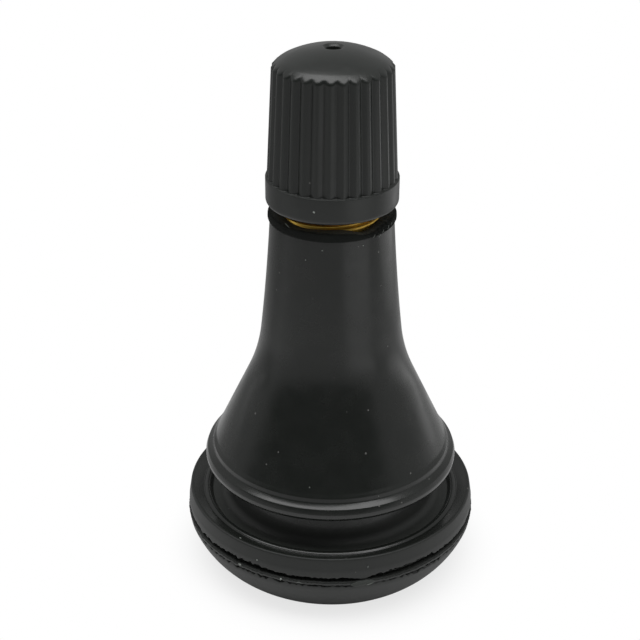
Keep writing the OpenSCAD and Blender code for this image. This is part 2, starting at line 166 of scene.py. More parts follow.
def soft_lamp(name, place, aim, width, depth, watts):
    """A rectangular area lamp at place, turned towards aim. Places are in millimetres."""
    data = bpy.data.lights.new(name, "AREA")
    data.shape, data.size, data.size_y, data.energy = "RECTANGLE", width * MM, depth * MM, watts
    lamp = bpy.data.objects.new(name, data)
    lamp.location = np.array(place) * MM
    towards = Vector(np.subtract(aim, place) * MM)
    lamp.rotation_euler = towards.to_track_quat("-Z", "Y").to_euler()
    scene.collection.objects.link(lamp)
    return lamp


overhead = soft_lamp("overhead_lamp", (-15, -45, 420), (0, 0, 20), 600, 220, 1.4)
print("lamp power in watts:", overhead.data.energy)

# %% [markdown]
# The floor is one large white sheet. Close to the valve a quarter of what the camera sees is an ordinary matte surface,
# which keeps a faint shadow. Further out it is plain white for the camera, so that the picture has no grey horizon.
# Mirrored rays see white too, but dimmer with the distance and behind the valve, as a table is outside the pool of
# light, and bright again in three patches where windows light it, two to the right and a fainter one to the left. The
# patches put the thin light lines on the flanks of the cap's ribs.

# %% White floor
FLOOR_HALF, FLOOR_DROP = 3000, 0.02
# Each patch: how far right and back it lies, the radius of its faint rim and of its bright middle, and its brightness.
WINDOW_PATCHES = ((75, -80, 62, 38, 1.0), (110, 55, 72, 50, 1.0), (-150, 75, 55, 35, 0.75))

floor_mesh = bpy.data.meshes.new("white_floor")
corners = np.array([[-1, -1, 0], [1, -1, 0], [1, 1, 0], [-1, 1, 0]]) * FLOOR_HALF - [0, 0, FLOOR_DROP]
floor_mesh.from_pydata((corners * MM).tolist(), [], [[0, 1, 2, 3]])
floor = bpy.data.objects.new("white_floor", floor_mesh)
scene.collection.objects.link(floor)

floor_paint = bpy.data.materials.new("white_floor")
floor_paint.use_nodes = True
tree = floor_paint.node_tree
tree.nodes.clear()
where = put(tree, "ShaderNodeTexCoord").outputs["Object"]
from_middle = put(tree, "ShaderNodeVectorMath", {0: where}, operation="LENGTH").outputs["Value"]
backwards = put(tree, "ShaderNodeSeparateXYZ", {0: where}).outputs["Y"]
rays = put(tree, "ShaderNodeLightPath").outputs
in_mirror = math_of(tree, "MAXIMUM", rays["Is Glossy Ray"], rays["Is Transmission Ray"])
past_shadow = ramp_of(tree, from_middle, 9 * MM, 14.5 * MM, 0.75, 1.0)
seen_white = math_of(tree, "MULTIPLY", rays["Is Camera Ray"], past_shadow)
mirrored_white = math_of(tree, "MULTIPLY", in_mirror, ramp_of(tree, from_middle, 7.5 * MM, 16.5 * MM))
in_pool = ramp_of(tree, from_middle, 30 * MM, 70 * MM, 1.0, 0.5)
behind = ramp_of(tree, backwards, -4 * MM, 22 * MM, 1.0, 0.6)
by_window = 0.0
for right, back, rim, middle, bright in WINDOW_PATCHES:
    spot = (right * MM, back * MM, 0)
    away = put(tree, "ShaderNodeVectorMath", {0: where, 1: spot}, operation="DISTANCE").outputs["Value"]
    by_window = math_of(tree, "MAXIMUM", by_window, ramp_of(tree, away, rim * MM, middle * MM, 0.0, bright))
mirrored = math_of(tree, "MAXIMUM", math_of(tree, "MULTIPLY", in_pool, behind), by_window)
matte = put(tree, "ShaderNodeBsdfDiffuse", {"Color": (0.86, 0.86, 0.86, 1)})
level = math_of(tree, "MAXIMUM", rays["Is Camera Ray"], mirrored)
plain_white = put(tree, "ShaderNodeEmission", {"Color": (1, 1, 1, 1), "Strength": level})
share = math_of(tree, "MAXIMUM", seen_white, mirrored_white)
floor_mix = put(tree, "ShaderNodeMixShader", {0: share, 1: matte.outputs[0], 2: plain_white.outputs[0]})
put(tree, "ShaderNodeOutputMaterial", {"Surface": floor_mix.outputs[0]})
floor_mesh.materials.append(floor_paint)
print("floor nodes:", len(tree.nodes))

# %% [markdown]
# ## Turned surfaces as arrays
#
# Nearly every piece of a valve is turned on a lathe or moulded in a round tool, so its surface is a profile carried
# round the axis. The grid has one row per profile point and one column per angle. Angles start at the front of the
# photograph and run to the right, so a mark seen in the picture can be placed by its angle.

# %% Profiles


def bow(start, end, bulge, count=24):
    """Circular arc from start to end. It leaves the chord by bulge, to the right of the way. Its radius is half the
    chord squared plus the bulge squared, over twice the bulge."""
    start, end = np.array(start, float), np.array(end, float)
    chord = np.linalg.norm(end - start)
    radius = (chord**2 / 4 + bulge**2) / (2 * bulge)
    along = (end - start) / chord
    aside = np.array([along[1], -along[0]])
    middle = (start + end) / 2 + aside * (bulge - radius)
    half = np.arcsin(chord / 2 / radius)
    turn = np.linspace(-half, half, count)[:, None]
    return middle + radius * (np.cos(turn) * aside + np.sin(turn) * along)


def arc(middle, radius, first, last, count=16):
    """Arc about a middle, from one angle in degrees to another: middle plus radius times cosine and sine."""
    turn = np.radians(np.linspace(first, last, count))
    return np.array(middle, float) + radius * np.stack([np.cos(turn), np.sin(turn)], 1)


def soft_line(points, soft, step, bend):
    """Profile with soft corners. The line is cut into hundredths of a millimetre and averaged with a bell curve of
    width soft. Points are then picked so that none are further apart than step, or turn by more than bend degrees."""
    cut = 0.01
    points = np.concatenate([np.atleast_2d(np.array(p, float)) for p in points])
    points = points[np.r_[True, np.linalg.norm(np.diff(points, axis=0), axis=1) > 1e-6]]
    length = np.r_[0, np.cumsum(np.linalg.norm(np.diff(points, axis=0), axis=1))]
    fine = np.linspace(0, length[-1], int(length[-1] / cut) + 2)
    line = np.stack([np.interp(fine, length, points[:, k]) for k in (0, 1)], 1)
    reach = int(4 * soft / cut) + 1
    bell = np.exp(-0.5 * (np.arange(-reach, reach + 1) * cut / soft) ** 2)
    before = 2 * line[0] - line[reach:0:-1]
    after = 2 * line[-1] - line[-2 : -reach - 2 : -1]
    padded = np.concatenate([before, line, after])
    line = np.stack([np.convolve(padded[:, k], bell / bell.sum(), "valid") for k in (0, 1)], 1)
    ahead = np.diff(line, axis=0)
    heading = np.unwrap(np.arctan2(ahead[:, 1], ahead[:, 0]))
    turned_by = np.abs(np.r_[0, np.diff(heading)])
    count = np.r_[0, np.cumsum(np.linalg.norm(ahead, axis=1) / step + turned_by / np.radians(bend))]
    picks = np.linspace(0, count[-1], int(np.ceil(count[-1])) + 1)
    return np.stack([np.interp(picks, count, line[:, k]) for k in (0, 1)], 1)


def around(count):
    """count equal angles of one turn, in radians, from the front."""
    return np.linspace(0, 2 * np.pi, count, endpoint=False)


def degrees_from_front(angle):
    """The same angle in degrees, from -180 to 180, so that the front is 0 and the right side is positive."""
    return (np.degrees(angle) + 180) % 360 - 180


def turned(radius, height, angle):
    """Grid of points: across by radius times the sine of the angle, forward by radius times its cosine, up by height.
    The arrays are spread over each other, rows by the profile and columns by the angle."""
    radius, height, angle = np.broadcast_arrays(radius, height, angle)
    return np.stack([radius * np.sin(angle), -radius * np.cos(angle), height], -1)


test_line = soft_line([[[0, 0], [4, 0], [4, 3]]], 0.05, 1.0, 10)
print("a soft corner takes", len(test_line), "points")

# %% [markdown]
# A grid becomes a mesh when each point is joined to its neighbours. The last column joins the first, so there is no
# seam. A profile that ends on the axis gets one point there, and a profile that runs back to its start makes a ring.
# The volume of the mesh, summed over its triangles, is positive when all faces point outwards, so its sign is a test.

# %% From grid to mesh


def piece_from_grid(name, grid, ring=False, poles=None, marks=None):
    """Mesh object from a grid of rows and columns, or from several such grids. ring joins the last row to the first;
    otherwise poles gives the two points that close the ends. marks are named values, one per grid point."""
    grid = grid if grid.ndim == 4 else grid[None]
    shells, rows, columns = grid.shape[:3]
    index = np.arange(shells * rows * columns).reshape(shells, rows, columns)
    below = index if ring else index[:, :-1]
    above = np.roll(index, -1, 1) if ring else index[:, 1:]
    quads = np.stack([below, np.roll(below, -1, 2), np.roll(above, -1, 2), above], -1).reshape(-1, 4)
    points = grid.reshape(-1, 3)
    fans = np.zeros((0, 3), int)
    if poles is not None:
        first, last = index[:, 0], index[:, -1]
        pole = index.size + 2 * np.broadcast_to(np.arange(shells)[:, None], first.shape)
        points = np.concatenate([points, np.reshape(poles, (-1, 3))])
        top = np.stack([np.roll(first, -1, 1), first, pole], -1)
        bottom = np.stack([last, np.roll(last, -1, 1), pole + 1], -1)
        fans = np.concatenate([top, bottom]).reshape(-1, 3)
    triangles = np.concatenate([quads[:, [0, 1, 2]], quads[:, [0, 2, 3]], fans])
    a, b, c = points[triangles].swapaxes(0, 1)
    volume = (a * np.cross(b, c)).sum() / 6
    if volume < 0:
        quads, fans = quads[:, ::-1], fans[:, ::-1]
    mesh = bpy.data.meshes.new(name)
    mesh.from_pydata((points * MM).tolist(), [], quads.tolist() + fans.tolist())
    mesh.shade_smooth()
    for mark, values in (marks or {}).items():
        layer = mesh.attributes.new(mark, "FLOAT", "POINT")
        padded = np.zeros(len(points), np.float32)
        padded[: index.size] = np.broadcast_to(values, index.shape).reshape(-1)
        layer.data.foreach_set("value", padded)
    piece = bpy.data.objects.new(name, mesh)
    scene.collection.objects.link(piece)
    print(f"{name}: {shells} x {rows} x {columns} points, {len(triangles)} triangles, {abs(volume):.3f} mm3")
    return piece


def uneven(angle, seed, slowest, fastest, fall=1.0):
    """Wavy closed line round the valve: a sum of cosines of whole wave numbers, each with a phase of its own and a
    height that falls with the wave number. It is scaled to lie between -1 and 1."""
    chance = np.random.default_rng(seed)
    waves = np.arange(slowest, fastest + 1)
    phase = chance.uniform(0, 2 * np.pi, waves.size)
    size = chance.uniform(0.4, 1, waves.size) / waves**fall
    line = (size * np.cos(angle[..., None] * waves + phase)).sum(-1)
    return line / np.abs(line).max()


def bump_at(value, middle, width):
    """Bell curve: one at the middle, falling to a third at width."""
    return np.exp(-(((value - middle) / width) ** 2))


def smooth(value, low, high):
    """S-shaped step from 0 at low to 1 at high: three squares less two cubes of the share of the way."""
    share = np.clip((value - low) / (high - low), 0, 1)
    return share * share * (3 - 2 * share)


print("wavy line of 360 angles:", uneven(around(360), 1, 2, 9).round(2)[:4])

# %% [markdown]
# ## The rubber body
#
# The rubber is one moulding. From the top: the neck with a slight waist, a hollow sweep into the cone, a shelf and the
# thin lip, the groove for the wheel, a fine bead round the seat, and the flange with its curved underside. It could be
# drawn by hand and spun, but a list of arcs and lines with soft corners is exact, and each size can be read off. The
# inner wall follows the brass, so the moulding is a closed ring.

# %% Profile of the rubber
NECK_TOP, COLLAR_TOP = 29.2, 29.8
FLANGE_R, CHANNEL_DEEP, BASE_R = 11.52, 0.6, 8.95
SHANK_BORE, TOP_BORE = 3.12, 3.83
RINGS, RING_PITCH, RING_WIDE = 4, 3.2, 1.2

underside = bow((FLANGE_R - 0.03, 3.4), (BASE_R, 0.0), -0.32)
rubber_line = soft_line(
    [
        [[TOP_BORE, COLLAR_TOP - 0.4], [4.45, COLLAR_TOP - 0.4], [4.55, NECK_TOP + 0.1], [4.62, NECK_TOP + 0.03]],
        bow((4.67, NECK_TOP), (5.45, 19.96), 0.065),
        bow((5.45, 19.96), (6.55, 16.06), 0.16),
        [[9.16, 10.5], [9.4, 10.22], [9.45, 9.95], [9.475, 9.85], [9.63, 9.715], [9.76, 9.62], [9.89, 9.54]],
        [[10.03, 9.14], [10.03, 9.0]],
        arc((9.48, 8.97), 0.55, 0, -90, 14),
        arc((8.45, 7.78), 0.7, 90, 195.5),
        arc((8.92, 6.08), 0.7, 195.5, 270),
        [[9.58, 5.38], [9.76, 5.66]],
        arc((10.05, 5.56), 0.3, 150, 32, 10),
        [[11.2, 6.07]],
        arc((11.22, 5.93), 0.15, 85, 8, 6),
        [[FLANGE_R, 4.98], [FLANGE_R - CHANNEL_DEEP, 4.9], [FLANGE_R - CHANNEL_DEEP, 3.48]],
        underside,
        [[6.3, 0.0], [5.4, 0.9], [SHANK_BORE, 0.9]],
    ],
    soft=0.03,
    step=0.7,
    bend=6,
)
ring_tops = 4.3 + RING_PITCH * np.arange(RINGS, 0, -1)[:, None] + np.array([RING_WIDE, RING_WIDE, 0, 0])
ring_sides = np.broadcast_to([SHANK_BORE, 3.57, 3.57, SHANK_BORE], ring_tops.shape)
inner_wall = np.concatenate([
    [[SHANK_BORE, 0.9], [SHANK_BORE, 1.73], [5.07, 1.73], [5.07, 2.87], [SHANK_BORE, 4.27]],
    np.stack([ring_sides.ravel(), ring_tops.ravel()], 1)[::-1],
    [[SHANK_BORE, 26.3], [TOP_BORE, 26.9]],
])
rubber_rows = np.concatenate([rubber_line, inner_wall[1:]])
print("rubber profile:", len(rubber_line), "outer rows,", len(inner_wall), "inner rows")

# %% [markdown]
# No moulding is perfectly round: the lip and the flange wave by a few hundredths of a millimetre. That is a change of
# radius that depends on the row and on the angle. Marks on the points tell the material where the mould was rough and
# left the skin dull, and where the shaded groove gets a faint pale tone as painted light.

# %% Rubber body
angle = around(288)
row_r, row_z = rubber_rows[:, :1], rubber_rows[:, 1:]
outside = (np.arange(len(rubber_rows)) < len(rubber_line))[:, None]
on_lip = outside * bump_at(row_z, 8.8, 0.4) * smooth(row_r, 9.2, 9.9)
on_flange = outside * np.maximum(smooth(row_r, 10.9, 11.15), smooth(row_z, 3.2, 2.9))
in_groove = outside * smooth(row_z, 6.9, 6.3) * smooth(row_r, 9.75, 9.6) * (row_z > 5)
# Painted light: a faint pale tone lifts the groove under the lip, which is dark only because it is in shade.
painted_groove_light = outside * smooth(row_z, 8.4, 6.8) * smooth(row_r, 9.9, 9.7) * (row_z > 5)
change_r = on_lip * 0.015 * uneven(angle, 13, 2, 9) + on_flange * 0.01 * uneven(angle, 14, 2, 8)
rubber_body = piece_from_grid(
    "rubber_moulding",
    turned(row_r + change_r, row_z, angle),
    ring=True,
    marks={"dull": np.maximum(on_flange, in_groove), "pale": 0.08 * painted_groove_light},
)
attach(rubber_body, "stem")
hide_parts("rubber_body")

# %% [markdown]
# ## The cut collar
#
# At the top the rubber was trimmed with a knife, and the cut is dull, dark and frayed, worst on the right. The top is
# dished towards the brass, and to the right of the front a piece is torn out of it, so that more brass shows there. The
# collar is a thin ring of its own, because its fibres need more columns than the smooth neck. The fibres slant, so
# their wavy line is taken at an angle that shifts with the height.

# %% Frayed collar
angle = around(900)
turn = degrees_from_front(angle)
collar_line = soft_line([[[3.88, 29.86], [4.72, 29.8], [4.82, 29.68], [4.83, 29.34], [4.72, 29.19]]], 0.03, 0.07, 20)
collar_rows = np.concatenate([collar_line, [[4.4, 29.3], [3.95, 29.4]]])
row_r, row_z = collar_rows[:, :1], collar_rows[:, 1:]
torn_share = 0.35 + 2.2 * bump_at(turn, 55, 16) + 0.5 * bump_at(turn, -52, 14) + 0.4 * bump_at(turn, 175, 40)
fibres = uneven(angle + 1.3 * (row_z - NECK_TOP), 18, 20, 160, 0.2)
frayed_top = smooth(row_z, 29.55, 29.8) * smooth(row_r, 3.95, 4.4)
frayed_foot = smooth(row_z, 29.4, 29.24) * smooth(row_r, 4.5, 4.7)
on_face = smooth(row_r, 4.5, 4.75)
collar_r = row_r + on_face * torn_share * (0.06 * np.minimum(fibres, 0.2) + 0.03 * uneven(angle, 11, 2, 30))
dished = smooth(row_r, 4.6, 4.0) * smooth(row_z, 29.6, 29.75)
collar_z = (
    row_z
    - dished * (0.1 * bump_at(turn, 33, 18) + 0.12 * bump_at(turn, -36, 22))
    - smooth(row_z, 29.45, 29.75) * 0.32 * bump_at(turn, 34, 15)
    + frayed_top * torn_share * (0.06 * uneven(angle, 12, 12, 120, 0.3) + 0.05 * uneven(angle, 17, 3, 14))
    + frayed_foot * torn_share * 0.04 * uneven(angle, 19, 20, 160, 0.3)
)
# Painted light: the collar's top lies in the cap's shade, so a pale tone lifts it, most at the front.
painted_light_top = smooth(row_r, 4.7, 4.3) * (0.16 + 0.26 * bump_at(turn, 0, 34))
pale_fibres = 0.05 * on_face * torn_share * np.maximum(fibres, 0) ** 2
collar = piece_from_grid(
    "cut_collar", turned(collar_r, collar_z, angle), ring=True, marks={"pale": painted_light_top + pale_fibres}
)
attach(collar, "stem")
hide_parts("rubber_body")

# %% [markdown]
# ## The flash on the parting line
#
# Where the halves of the mould meet, a thin fin of rubber is left, and it tears when the valve is pulled out. Over the
# fin runs a crack that reads as a ragged black line, and under it the skin is tucked in once more. All of it lies in a
# channel of the body as a ring of its own. Twenty lines run round the flange: the edges, back and floor of the crack,
# the crest of the fin, the tuck. Each has a height and a radius that change with the angle, and the surface is drawn
# straight from line to line, so the edges stay crisp where they wander up and down.

# %% Torn flash
FURTHEST_R = 11.645
angle = around(1440)
turn = degrees_from_front(angle)
side = np.concatenate([[[11.37, 6.02], [FLANGE_R, 4.98], [FLANGE_R, 3.6]], underside])[::-1]
jagged = uneven(angle, 21, 20, 240, 0.5)
wander = uneven(angle, 22, 3, 40, 0.4)
flap = bump_at(turn, 12, 4.4) ** 2
wide = bump_at(turn, 30, 13) + 0.6 * bump_at(turn, -40, 14) + 0.5 * bump_at(turn, 140, 60)
rough_share = 1 + 1.2 * bump_at(turn, -42, 20) + 0.6 * bump_at(turn, 38, 12)
crack_foot = 4.15 - 0.03 * wide + 0.03 * wander + 0.025 * rough_share * uneven(angle, 28, 30, 180, 0.2)
crack_tall = np.clip(0.34 + 0.26 * wide + 0.06 * wander + 0.09 * rough_share * jagged, 0.1, 0.75) * (1 - 0.7 * flap)
crack_head = crack_foot + crack_tall
crack_deep = 0.46 * smooth(crack_tall, 0.05, 0.35)
crest = crack_foot - 0.1 + 0.035 * uneven(angle, 23, 20, 200, 0.2)
reach = np.clip(0.07 + 0.045 * uneven(angle, 24, 20, 300, 0.15), 0.02, 0.12) * (1 - 0.6 * flap)
toothed = uneven(angle, 26, 30, 150, 0.2)
tuck_head = crest - 0.22 + 0.04 * jagged[::-1] - 0.08 * flap
tuck_tall = 0.12 + 0.16 * bump_at(turn, 37, 8) + 0.15 * rough_share * toothed + 0.07 * wander
tuck_tall = np.clip(tuck_tall, 0.01, 0.36) * (1 - 0.6 * flap)
tuck_deep = 0.22 * smooth(tuck_tall, 0.03, 0.12) * (1 - 0.8 * flap)
hang = 0.03 + 0.08 * flap
lines = [
    (5.4, -0.012),
    (5.15, 0.0005),
    (5.0, 0.002),
    (crack_head + 0.05, 0.002),
    (crack_head - 0.03, -0.02),
    (crack_head - 0.15 * crack_tall, -0.4 * crack_deep),
    (crack_head - 0.45 * crack_tall, -0.9 * crack_deep),
    (crack_foot + 0.05, -crack_deep),
    (crack_foot, -0.5 * crack_deep),
    (crest + 0.06, reach - 0.04),
    (crest, reach),
    (crest - 0.05, reach - 0.01),
    (tuck_head, hang),
    (tuck_head - 0.02, -0.7 * tuck_deep),
    (tuck_head - 0.5 * tuck_tall, -tuck_deep),
    (tuck_head - tuck_tall, -0.02),
    (tuck_head - tuck_tall - 0.05, 0.002),
    (3.25, 0.002),
    (3.1, 0.0005),
    (2.85, -0.012),
]
line_z = np.stack([np.broadcast_to(z, angle.shape) for z, _ in lines])
offset = np.stack([np.broadcast_to(out, angle.shape) for _, out in lines])
steps = np.linspace(0, 1, 3, endpoint=False)[:, None]


def between(rows):
    """Rows drawn straight from line to line: each pair of lines gives three rows that go over from one to the other."""
    drawn = rows[:-1, None] * (1 - steps) + rows[1:, None] * steps
    return np.concatenate([drawn.reshape(-1, angle.size), rows[-1:]])


fin_z = between(line_z)
fin_r = np.interp(fin_z, side[:, 1], side[:, 0]) + between(offset) + 0.01 * uneven(angle, 14, 2, 8)
crumble = uneven(angle + 2.0 * (fin_z - 4), 27, 60, 400, 0.1)
near_crest = bump_at(fin_z, crest, 0.12)
fin_r = np.minimum(fin_r + 0.012 * near_crest * crumble, FURTHEST_R)
in_crack = smooth(fin_z, crack_foot - 0.02, crack_foot + 0.05) * smooth(fin_z, crack_head + 0.01, crack_head - 0.03)
tuck_foot = tuck_head - tuck_tall
in_tuck = smooth(fin_z, tuck_foot, tuck_foot + 0.04) * smooth(fin_z, tuck_head, tuck_head - 0.03)
chips = (
    0.5 * bump_at(turn, -12.5, 0.8) * bump_at(fin_z, crest - 0.1, 0.06)
    + 0.25 * flap * bump_at(fin_z, 3.86, 0.12)
    + 0.06 * near_crest * np.maximum(crumble, 0)
)
loop_r = np.concatenate([fin_r, np.full((2, angle.size), FLANGE_R - 0.75)])
loop_z = np.concatenate([fin_z, np.full((1, angle.size), 3.4), np.full((1, angle.size), 4.9)])
nothing = np.zeros((2, angle.size))
flash = piece_from_grid(
    "moulding_flash",
    turned(loop_r, loop_z, angle),
    ring=True,
    marks={
        "torn": np.concatenate([near_crest, nothing]),
        "pale": np.concatenate([np.clip(chips, 0, 1), nothing]),
        "dull": np.concatenate([(1 - in_crack) * (1 - in_tuck), nothing]),
    },
)
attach(flash, "stem")
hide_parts("rubber_body")
print("flash reaches", round(float(fin_r.max()), 3), "mm from the axis")

# %% [markdown]
# A handled valve also carries a few loose crumbs of rubber and lint. The larger ones in the photograph are small flat
# ovals that lie on the surface: one row of numbers each, with the angle from the front, the place on the profile, half
# the length and half the width, how far the long way is turned up and how pale it is. All ovals are one array, one grid
# per crumb.

# %% Crumbs on the surface


def crumbs(places, thick=0.035, rows=7, columns=10):
    """Flat ovals on a round body. An oval is its half length times the cosine of the latitude along, its half width
    times the sine of the latitude and the cosine of the longitude across, and the same with the sine outwards."""
    turn, radius, height, half_long, half_wide, tilt = np.array(places, float).T[:, :, None, None]
    latitude = np.linspace(0, np.pi, rows + 2)[1:-1, None]
    longitude = around(columns)
    along = half_long * np.cos(latitude) * np.ones_like(longitude)
    across = half_wide * np.sin(latitude) * np.cos(longitude)
    out = radius + thick * np.sin(latitude) * np.sin(longitude)
    tilt = np.radians(tilt)
    sideways = along * np.cos(tilt) - across * np.sin(tilt)
    upwards = along * np.sin(tilt) + across * np.cos(tilt)
    grids = turned(out, height + upwards, np.radians(turn) + sideways / radius)
    ends = np.array([1, -1]) * half_long[:, 0]
    tips = turned(
        radius[:, 0] * np.ones(2),
        height[:, 0] + ends * np.sin(tilt[:, 0]),
        np.radians(turn[:, 0]) + ends * np.cos(tilt[:, 0]) / radius[:, 0],
    )
    return grids, tips


# Angle, radius, height, half length, half width, tilt and paleness of each crumb.
rubber_crumbs = np.array([
    (-39.5, 11.0, 6.0, 0.09, 0.08, 0, 1.0),
    (-29.6, 11.52, 5.08, 0.06, 0.05, 30, 1.0),
    (13.7, 11.5, 5.3, 0.1, 0.04, 80, 0.6),
    (16.6, 8.13, 5.86, 0.24, 0.035, 32, 0.6),
    (19.4, 8.09, 6.08, 0.1, 0.05, 15, 0.7),
    (20.1, 9.96, 9.0, 0.08, 0.06, 10, 0.6),
    (-10.8, 8.97, 10.9, 0.05, 0.05, 0, 0.6),
    (-9.3, 4.72, 28.56, 0.06, 0.06, 0, 0.5),
    (27.9, 4.7, 28.72, 0.06, 0.05, 60, 0.5),
    (-24.2, 4.79, 27.66, 0.05, 0.05, 0, 0.5),
    (-19.5, 11.6, 3.98, 0.13, 0.07, 70, 1.0),
    (-37.5, 11.6, 4.06, 0.14, 0.08, 10, 1.0),
    (38.5, 4.84, 29.3, 0.15, 0.03, 50, 0.35),
    (45.0, 4.84, 29.16, 0.2, 0.03, 48, 0.45),
    (49.4, 4.85, 29.42, 0.16, 0.03, 55, 0.35),
    (57.0, 4.86, 29.5, 0.18, 0.04, 65, 0.3),
    (63.0, 4.86, 29.62, 0.14, 0.035, 40, 0.25),
    (-46.0, 4.58, 29.87, 0.3, 0.035, -28, 0.6),
    (11.6, 11.605, 3.92, 0.95, 0.26, 3, 0.14),
    (14.4, 11.61, 3.76, 0.32, 0.045, 10, 0.5),
])
grids, tips = crumbs(rubber_crumbs[:, :6])
tone = rubber_crumbs[:, 6, None, None]
loose_crumbs = piece_from_grid("loose_crumbs", grids, poles=tips, marks={"pale": tone, "torn": np.ones(1)})
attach(loose_crumbs, "stem")
grids, tips = crumbs([(-16, 4.965, 31.6, 0.09, 0.08, 0)])
cap_crumb = piece_from_grid("cap_crumb", grids, poles=tips, marks={"pale": np.ones(1), "torn": np.ones(1)})
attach(cap_crumb, "cap")

# %% [markdown]
# ## Threads
#
# A thread is a profile in height that climbs by one pitch per turn. On a grid that is one line: take the height in
# pitches, less the angle in turns, and look at the part after the decimal point. The outer thread has 32 turns to the
# inch and the core's has 36. The cap's thread uses the same line as the stem's, a little further out, so the two stay
# in mesh at every turn of the cap.

# %% Screw thread
OUTER_PITCH, OUTER_DEPTH = 25.4 / 32, 0.36
CORE_PITCH, CORE_DEPTH = 25.4 / 36, 0.28
THREAD_START, ROOT_FLAT, FLANK = 0.17, 0.14, 0.56


def groove_of_thread(height, angle, pitch):
    """How deep a screw thread is cut at a height and angle: 0 on the crest, 1 in the root, straight flanks between.
    The place in the pitch is height over pitch less angle over one turn, without whole numbers. The thread starts a
    sixth of a turn before the front."""
    place = height / pitch - angle / (2 * np.pi) - THREAD_START
    from_root = np.abs((place % 1) - 0.5) * 2
    return 1 - np.clip((from_root - ROOT_FLAT) / FLANK, 0, 1)


def column(radius, first, last, step):
    """Straight run of profile points at one radius, from one height to another."""
    height = np.linspace(first, last, int(abs(last - first) / step) + 2)
    return np.stack([np.full_like(height, radius), height], 1)


print("depth of the thread along one pitch:", groove_of_thread(np.linspace(0, OUTER_PITCH, 7), 0, OUTER_PITCH).round(2))

# %% [markdown]
# ## The brass stem
#
# Only a strip of brass shows under the cap, but the whole stem is there: the foot and rings that hold it in the rubber,
# the outer thread, the rim that the cap's washer seals on, the thread for the core, the cone seat and the air passage.
# The profile goes up the outside and down the inside, so it is a ring too.

# %% Stem with its two threads
RIM, RIM_CHAMFER = 38.94, 0.55
STEM_R, SHANK_R, FOOT_EDGE, MOUTH_R, CORE_BORE, AIR_R = 3.85, 3.15, 5.1, 2.9, 2.65, 1.35
MOUTH_FLOOR, CORE_FLOOR = 38.14, 31.44
shank = np.concatenate([
    [[AIR_R, 0.5], [SHANK_R, 0.5], [SHANK_R, 1.7], [FOOT_EDGE, 1.7], [FOOT_EDGE, 2.9], [SHANK_R, 4.3]],
    np.stack([ring_sides[::-1, ::-1].ravel() + 0.03, ring_tops[::-1, ::-1].ravel()], 1),
    [[SHANK_R, 26.34], [STEM_R, 26.94]],
])
rim = [[STEM_R, RIM - RIM_CHAMFER], [3.3, RIM], [MOUTH_R, RIM]]
mouth = [[MOUTH_R, MOUTH_FLOOR], [CORE_BORE, MOUTH_FLOOR]]
stem_rows = np.concatenate([
    shank,
    column(STEM_R, 29.6, RIM - RIM_CHAMFER, 0.055),
    soft_line([rim, mouth], 0.02, 0.1, 15)[1:],
    column(CORE_BORE, 38.1, CORE_FLOOR, 0.055),
    [[2.3, CORE_FLOOR], [2.3, 29.24], [1.95, 27.54], [1.95, 16.84], [AIR_R, 16.48]],
])
angle = around(200)
row_r, row_z = stem_rows[:, :1], stem_rows[:, 1:]
row_number = np.arange(len(stem_rows))[:, None]
rim_row = np.argmax(stem_rows[:, 1])
outer_share = smooth(row_z, 29.5, 30.3) * (row_number < rim_row)
inner_share = (row_r > 2.6) * (row_number > rim_row) * smooth(row_z, 31.5, 31.9) * smooth(row_z, 38.12, 37.9)
outer_cut = STEM_R - OUTER_DEPTH * outer_share * groove_of_thread(row_z, angle, OUTER_PITCH)
inner_cut = CORE_DEPTH * inner_share * groove_of_thread(row_z, angle, CORE_PITCH)
stem_r = np.where(outer_share > 0, np.minimum(row_r, outer_cut), row_r - inner_cut)
brass_stem = piece_from_grid("threaded_stem", turned(stem_r, row_z, angle), ring=True)
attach(brass_stem, "stem")
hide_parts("brass_stem")

# %% [markdown]
# ## The dust cap
#
# The cap is a plastic moulding with 30 rounded ribs. They stand side by side, so the valleys between them are sharp,
# and they lean in a little because the cap has to come out of its mould. At the top the dome's rounded shoulder cuts
# across them, which gives the wavy edge of the lit dome. At any height the side's radius is the smaller of the two:
# the ribs' and the dome's. The ribs end on a small ledge over a plain band. The inside has the thread, the washer's
# pocket and the room over the core.

# %% Ribbed cap
RIBS, RIB_DEPTH, RIB_ROUND, FIRST_VALLEY = 30, 0.23, 0.35, np.radians(2.6)
BAND_TOP, SIDE_TOP, FOOT_R, TOP_R = 32.56, 40.34, 4.85, 4.47
CAP_FOOT, CAP_BORE, APEX, ROOF = 30.56, 3.95, 42.34, 41.14
DIMPLE_FLOOR = APEX - 0.78


def rib_radius(angle, crest):
    """Radius of the ribbed side: the crest less a drop. With u the share of the way from the rib's middle to the
    valley, the drop grows with the root of u squared plus RIB_ROUND squared. That is round on the crest and straight
    down to the valley, where two ribs meet in a sharp line."""
    whole = 2 * np.pi / RIBS
    u = np.abs((angle - FIRST_VALLEY) % whole - whole / 2) / (whole / 2)
    drop = (np.hypot(u, RIB_ROUND) - RIB_ROUND) / (np.hypot(1, RIB_ROUND) - RIB_ROUND)
    return crest - RIB_DEPTH * drop


def lesser(a, b, soft):
    """The smaller of two values with a soft change: half of their sum, less the root of their difference squared plus
    soft squared."""
    return (a + b - np.sqrt((a - b) ** 2 + soft**2)) / 2


